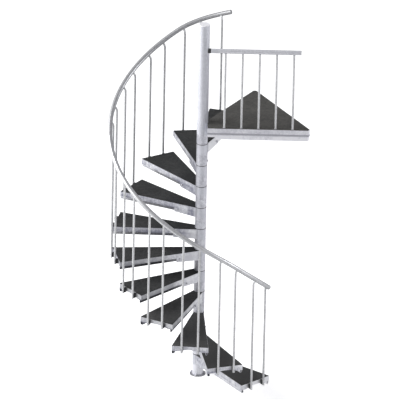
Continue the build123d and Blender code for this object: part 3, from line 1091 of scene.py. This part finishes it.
@dataclass
class Treads:
    """Treads and their mats, with cheek bolts, hub welds and fascia bolts."""

    plan: StairPlan
    cheek_bolt: HexBolt = HexBolt(0.0185, 0.0072, 0.0115)
    cheek_bolt_reach: float = 0.208
    cheek_bolt_drop: float = 0.058
    cheek_sheet: float = 0.003
    weld_radius: float = 0.0030
    nut: HexBolt = HexBolt(0.0150, 0.0065, 0.0100)
    nut_inset: float = 0.003
    nut_drop: float = 0.030

    def build(self) -> None:
        """Dress the treads' steel and mats, and add their fixings."""
        dress([f"tread_{number:02d}" for number in self.plan.numbers], TREAD_ZINC)
        dress([f"tread_mat_{number:02d}" for number in self.plan.numbers], TREAD_MAT)
        self.cheek_bolts()
        self.hub_welds()
        self.spacer_nuts()

    def cheek_bolts(self) -> None:
        """Bolts through the cheeks beside the column."""
        seat = shift(self.cheek_bolt_reach, self.cheek_sheet, -self.cheek_bolt_drop)
        seats = []
        for number in self.plan.numbers:
            for side in (-1, 1):
                place = self.plan.edge(number, side) @ seat @ turn(-90, Axis.X)
                seats.append((11.0 * number, place))
        fasten("cheek_bolts", self.cheek_bolt, seats)

    def hub_welds(self) -> None:
        """Upright beads that join the cheeks to the hub."""
        forming = Forming("hub_welds", WELD_ZINC)
        reach = math.sqrt(self.plan.column_radius**2 - self.plan.tread_half_width**2)
        for number in self.plan.numbers:
            for side in (-1, 1):
                place = self.plan.edge(number, side) @ shift(reach * 0.86, 0.0020, 0)
                path = [place @ Vector((0, 0, -0.006 - 0.0045 * step)) for step in range(20)]
                forming.bead(path, self.weld_radius, 20 * number + side)
        forming.piece(WELD_SHARP)

    def spacer_nuts(self) -> None:
        """Nuts of the balusters' bolts, inside the fascia."""
        inside = shift(-self.plan.baluster_standoff - self.nut_inset, 0, -self.nut_drop)
        seats = [baluster @ inside @ turn(-90, Axis.Y) for baluster in self.plan.balusters()]
        fasten("spacer_nuts", self.nut, ((23.0 * index, seat) for index, seat in enumerate(seats)))


@dataclass
class Railing:
    """Balusters, their spacers and the helical handrail, with bolts, foot plugs and joints."""

    plan: StairPlan
    bolt: DomeBolt = DomeBolt(0.0068, 0.0042)
    bolt_drop: float = 0.030
    plug_drop: float = 0.0042
    seam_width: float = 0.0016
    screw: DomeBolt = DomeBolt(0.0034, 0.0012)
    screw_reach: float = 0.022
    rail_outset: float = 0.0265
    rail_height: float = 1.058
    start_overhang: float = 0.015
    low_run: float = 33.0
    low_drop: float = 0.079
    top_run: float = 26.0
    top_drop: float = 0.100
    segment_angle: float = 12.0
    flights: tuple[str, ...] = ("lower", "middle", "upper")

    def build(self) -> None:
        """Dress the railing's steel and plastic, and add its fixings."""
        dress([f"balusters_{flight}" for flight in self.flights], TUBE_ZINC)
        dress([f"handrail_{flight}" for flight in self.flights], RAIL_ZINC)
        dress([f"baluster_spacers_{flight}" for flight in self.flights], BLACK_PLASTIC)
        dress(["rail_plugs"], RAIL_ZINC)
        self.baluster_bolts()
        self.foot_plugs()
        self.rail_seams()

    def baluster_bolts(self) -> None:
        """Round-headed bolts through the balusters and their spacers."""
        face = shift(self.plan.baluster_radius - 0.0016, 0, -self.bolt_drop)
        seats = (baluster @ face @ turn(90, Axis.Y) for baluster in self.plan.balusters())
        fasten("baluster_bolts", self.bolt, ((0.0, seat) for seat in seats))

    def foot_plugs(self) -> None:
        """Domed plugs in the balusters' feet."""
        forming = Forming("baluster_foot_plugs", BLACK_PLASTIC, Slot.PLASTIC)
        radius = self.plan.baluster_radius
        drop = self.plug_drop
        shaft = radius - 0.0002
        profile = [(shaft, 0.0), (shaft, 0.3 * drop), (0.93 * radius, 0.6 * drop)]
        profile += [(0.72 * radius, 0.88 * drop), (0.35 * radius, 0.98 * drop), (0, drop)]
        foot = shift(0, 0, -self.plan.baluster_foot_drop)
        for baluster in self.plan.balusters():
            forming.turned(baluster @ foot @ turn(180, Axis.X), profile, ROUND)
        forming.piece()

    def rail_centre_radius(self) -> float:
        """Plan radius of the handrail's centre line."""
        plan = self.plan
        return math.hypot(plan.baluster_reach, plan.baluster_half_spacing) + self.rail_outset

    def rail_corners(self) -> list[Vector]:
        """Corners of the polygon that the handrail's arcs round off.

        Returns:
            The corners, from the foot of the flight.
        """
        plan = self.plan
        radius = self.rail_centre_radius()
        half_angle = math.atan2(plan.baluster_half_spacing, plan.baluster_reach)
        start = -math.degrees(half_angle + self.start_overhang / radius)
        end = (plan.tread_count - 1) * plan.step_angle
        count = math.ceil((end - start) / self.segment_angle)
        segment = (end - start) / count
        corner = radius / math.cos(math.radians(segment / 2))
        corners = []
        for index in range(count):
            angle = start + (index + 0.5) * segment
            height = plan.rise * (1 + angle / plan.step_angle) + self.rail_height
            height -= self.low_drop * max(0.0, start + self.low_run - angle) / self.low_run
            height -= self.top_drop * max(0.0, angle - end + self.top_run) / self.top_run
            corners.append(turn(plan.first_angle - angle, Axis.Z) @ Vector((corner, 0, height)))
        return corners

    def rail_seams(self) -> None:
        """Dark lines and grub screws where the handrail's lengths meet."""
        corners = self.rail_corners()
        seams = Forming("handrail_seams", RING_RUBBER, Slot.PLASTIC)
        inner = self.plan.rail_radius - 0.0008
        outer = self.plan.rail_radius + 0.0002
        half = self.seam_width / 2
        profile = [(inner, -half), (outer, -half), (outer, half), (inner, half)]
        down = Vector((0, 0, -1))
        seats = []
        for index in range(1, len(self.flights)):
            last = round(index * len(corners) / len(self.flights))
            before, after = corners[last - 1], corners[last]
            middle, along = (before + after) / 2, after - before
            seams.turned(facing(middle, along), profile, sides=48, closed=True)
            below = down - down.project(along)
            under = middle + below.normalized() * (self.plan.rail_radius - 0.0007)
            for way in (-1, 1):
                spot = under + way * self.screw_reach * along.normalized()
                seats.append((0.0, facing(spot, below)))
        seams.piece()
        fasten("handrail_grub_screws", self.screw, seats)


@dataclass
class Landing:
    """Landing with its mat and its guard, and their bolts, painted shadow strip, rim plates, beads
    and end cap.
    """

    plan: StairPlan
    level: float = 2.520
    edge_x: float = 0.788
    edge_centre_y: float = -0.0903
    side: float = 1.048
    half_angle: float = math.radians(30)
    bolt: HexBolt = HexBolt(0.0208, 0.0080, 0.0130)
    hole_spacing: float = 0.240
    hole_count: int = 4
    hole_drop: float = 0.060
    wall_sheet: float = 0.003
    corner_flat: float = 0.028
    inner_cut: float = 0.046
    strip_drop: float = 0.0630
    strip_height: float = 0.016
    strip_stand: float = 0.0012
    band_proud: float = 0.008
    band_height: float = 0.068
    tongue_drop: float = 0.092
    tongue_length: float = 0.0705
    tongue_sheet: float = 0.003
    guard_height: float = 0.755
    guard_first: float = 0.1707
    guard_count: int = 5
    guard_spacing: float = 0.155
    guard_inset: float = 0.018
    bead_radius: float = 0.0019
    inner_overhang: float = 0.158
    cap_length: float = 0.024

    def build(self) -> None:
        """Dress the landing and its guard, and add their fixings."""
        dress(["landing_frame"], LANDING_ZINC)
        dress(["landing_mat"], LANDING_MAT)
        dress(["guard_balusters"], TUBE_ZINC)
        dress(["guard_rail"], GUARD_ZINC)
        self.wall_bolts()
        # painted shadow strip under the band
        self.shadow_line_strip()
        self.rim_tongues()
        self.guard_beads()
        self.guard_end_cap()

    def wall_bolts(self) -> None:
        """Bolts through the wall edge, with their heads inside the frame."""
        seats = []
        for number in range(self.hole_count):
            y = self.edge_centre_y + (number - (self.hole_count - 1) / 2) * self.hole_spacing
            hole = shift(self.edge_x - self.wall_sheet, y, self.level - self.hole_drop)
            seats.append((19.0 * number, hole @ turn(-90, Axis.Y)))
        fasten("landing_wall_bolts", self.bolt, seats)

    def band_sides(self, inset: float) -> list[list[Vector]]:
        """Plan of the proud band's two sides.

        Args:
            inset: How far inside the band's face the plan runs; below 0 it stands proud.

        Returns:
            The corners of each side, from beside the column, round the blunted corner, to the wall.
        """
        cos, sin = math.cos(self.half_angle), math.sin(self.half_angle)
        spread = math.tan(self.half_angle)
        wall = Vector((self.edge_x, self.edge_centre_y, 0))
        front = Vector((cos, -sin, 0))
        inner = wall + Vector((inset / sin - self.side * cos, 0, 0))
        sides = []
        for way in (1, -1):
            corner = wall + Vector((0, way * (self.edge_x - inner.x) * spread, 0))
            sharp = wall + Vector((0, way * self.side / 2, 0))
            outward = Vector((sin, way * cos, 0))
            depth = (corner - sharp).dot(outward) + self.corner_flat / 2 / spread + inset
            across = Vector((-outward.y, outward.x, 0)) * way * depth * spread
            blunt = corner - outward * depth
            turning = blunt + across
            reach = (self.inner_cut - front.dot(inner)) / front.dot(turning - inner)
            sides.append([inner + (turning - inner) * reach, turning, blunt - across])
        return sides

    def shadow_line_strip(self) -> None:
        """Grey strip along the foot of the proud band, a painted shadow where the band's shade
        falls.
        """
        forming = Forming("landing_band_shadow_strip", SHADOW_STRIP, Slot.PLASTIC)
        back, face, soft = 0.001, -self.strip_stand, 0.3 * self.strip_stand
        low = self.level - self.strip_drop
        high = low + self.strip_height
        section = [(back, low), (face + soft, low), (face, low + soft)]
        section += [(face, high - soft), (face + soft, high), (back, high)]
        heights = [height for _, height in section]
        for lines in zip(*(self.band_sides(inset) for inset, _ in section)):
            rings = [[Vector((*p.xy, z)) for p, z in zip(ring, heights)] for ring in zip(*lines)]
            forming.skin(rings)
        forming.piece()

    def rim_tongues(self) -> None:
        """Shallow plates that carry the lower rim on to the column, under the band."""
        forming = Forming("landing_rim_tongues", LANDING_ZINC)
        low = self.level - self.tongue_drop
        high = self.level - self.band_height - 0.004
        faces = [self.band_sides(self.band_proud + depth) for depth in (0.0, self.tongue_sheet)]
        for outer, inner in zip(*faces):
            along = (outer[1] - outer[0]).normalized()
            rings = []
            for reach in (0.0, self.tongue_length):
                near, far = (line[0] + along * reach for line in (outer, inner))
                corners = ((near, low), (near, high), (far, high), (far, low))
                rings.append([Vector((*spot.xy, z)) for spot, z in corners])
            forming.skin(rings)
        forming.piece()

    def guard_point(self, distance: float, height: float) -> Vector:
        """Point over the guarded edge.

        Args:
            distance: How far back from the wall end of that edge it is.
            height: Height above the landing.

        Returns:
            The point.
        """
        along = Vector((math.cos(self.half_angle), -math.sin(self.half_angle), 0))
        inward = Vector((-along.y, along.x, 0))
        corner = Vector((self.edge_x, self.edge_centre_y - self.side / 2, 0))
        plan = corner - along * distance + inward * self.guard_inset
        return Vector((plan.x, plan.y, self.level + height))

    def guard_beads(self) -> None:
        """Weld beads round the guard's balusters, on the deck and under the rail."""
        forming = Forming("guard_beads", WELD_ZINC, Slot.TUBE)
        radius = self.plan.baluster_radius + 0.0006
        top = self.guard_height - self.plan.rail_radius + 0.0016
        for number in range(self.guard_count):
            for seed, height in enumerate((0.0008, top)):
                centre = self.guard_point(self.guard_first + number * self.guard_spacing, height)
                path = [centre + point for point in circle(radius, 0.0, 28)]
                forming.bead(path, self.bead_radius, 10 * number + seed, closed=True)
        forming.piece(WELD_SHARP)

    def guard_end_cap(self) -> None:
        """Black cap over the guard rail's end beside the column."""
        forming = Forming("guard_end_cap", BLACK_PLASTIC, Slot.PLASTIC)
        reach = self.guard_first + (self.guard_count - 1) * self.guard_spacing
        end = self.guard_point(reach + self.inner_overhang, self.guard_height)
        outward = end - self.guard_point(0, self.guard_height)
        radius, length = self.plan.rail_radius, self.cap_length
        skirt = radius + 0.0010
        profile = [(radius - 0.0004, -length), (radius + 0.0006, -length), (skirt, 0.001 - length)]
        profile += [(skirt, 0.0015), (radius - 0.0006, 0.0045), (0.6 * radius, 0.0052), (0, 0.0054)]
        forming.turned(facing(end, outward), profile, sides=48)
        forming.piece()


# Studio


@dataclass(frozen=True)
class Lamp:
    """Soft square light, aimed at the stair from a direction as seen from above."""

    name: str
    azimuth: float
    elevation: float
    distance: float
    size: float
    power: float
    colour: Colour = (1.0, 1.0, 1.0)

    def hang(self, target: Vector) -> None:
        """Put the light up.

        Args:
            target: What it faces.
        """
        away = direction_to(self.azimuth, self.elevation)
        data = bpy.data.lights.new(self.name, "AREA")
        data.shape = "SQUARE"
        data.size = self.size
        data.energy = self.power
        data.color = self.colour
        placed(self.name, data).matrix_world = facing(target + away * self.distance, away)


@dataclass
class Studio:
    """Camera at the photograph's viewpoint, pale floor and soft light."""

    pixels_per_metre: float = 109.75
    photo_width: int = 400
    azimuth: float = -29.4
    elevation: float = 24.0
    roll: float = 1.133
    distance: float = 100.0
    target: Vector = field(default_factory=lambda: Vector((-0.00799, 0.00450, 1.7429)))
    ambient: float = 0.35
    floor_half: float = 60.0
    lamps: tuple[Lamp, ...] = (
        Lamp("key_light", -116.0, 28.0, 13.0, 9.0, 2500.0),
        Lamp("side_fill", 46.0, 18.0, 12.0, 6.0, 620.0, (0.98, 0.98, 1.0)),
        Lamp("top_light", 0.0, 88.0, 6.5, 5.0, 15.0),
    )

    def build(self) -> None:
        """Set up the camera, the lights and the floor."""
        self.camera()
        self.background()
        self.floor()
        for lamp in self.lamps:
            lamp.hang(self.target)

    def camera(self) -> None:
        """Long lens far away, rolled as the photograph is."""
        away = direction_to(self.azimuth, self.elevation)
        data = bpy.data.cameras.new("photo_camera")
        data.sensor_width = 36.0
        data.lens = data.sensor_width * self.distance * self.pixels_per_metre / self.photo_width
        data.clip_end = 4 * self.distance
        camera = placed("photo_camera", data)
        upright = facing(self.target + away * self.distance, away)
        camera.matrix_world = upright @ turn(self.roll, Axis.Z)
        bpy.context.scene.camera = camera

    def background(self) -> None:
        """White surround that is softer as a light than it looks."""
        sheet = NodeSheet(bpy.data.worlds.new("studio_surround"))
        seen = sheet.shader("ShaderNodeBackground", {"Color": (1.0, 1.0, 1.0, 1.0)})
        glow = {"Color": (0.97, 0.97, 1.0, 1.0), "Strength": self.ambient}
        felt = sheet.shader("ShaderNodeBackground", glow)
        bpy.context.scene.world = sheet.finished(sheet.felt_and_seen(felt, seen))
        bpy.context.scene.view_settings.view_transform = "Standard"

    def floor(self) -> None:
        """Pale floor, which isn't part of the stair."""
        half = self.floor_half
        data = bpy.data.meshes.new("studio_floor")
        corners = [(-half, -half, 0), (half, -half, 0), (half, half, 0), (-half, half, 0)]
        data.from_pydata(corners, [], [(0, 1, 2, 3)])
        data.materials.append(material_of(Sweep("pale_floor")))
        floor = placed("studio_floor", data)


def main() -> None:
    """Build the studio and the stair's sub-assemblies in order."""
    logging.basicConfig(level=logging.INFO, format="%(name)s: %(message)s")
    plan = StairPlan()
    for assembly in (Studio(), Column(plan), Treads(plan), Railing(plan), Landing(plan)):
        LOG.info("building %s", type(assembly).__name__)
        assembly.build()


if __name__ == "__main__":
    main()
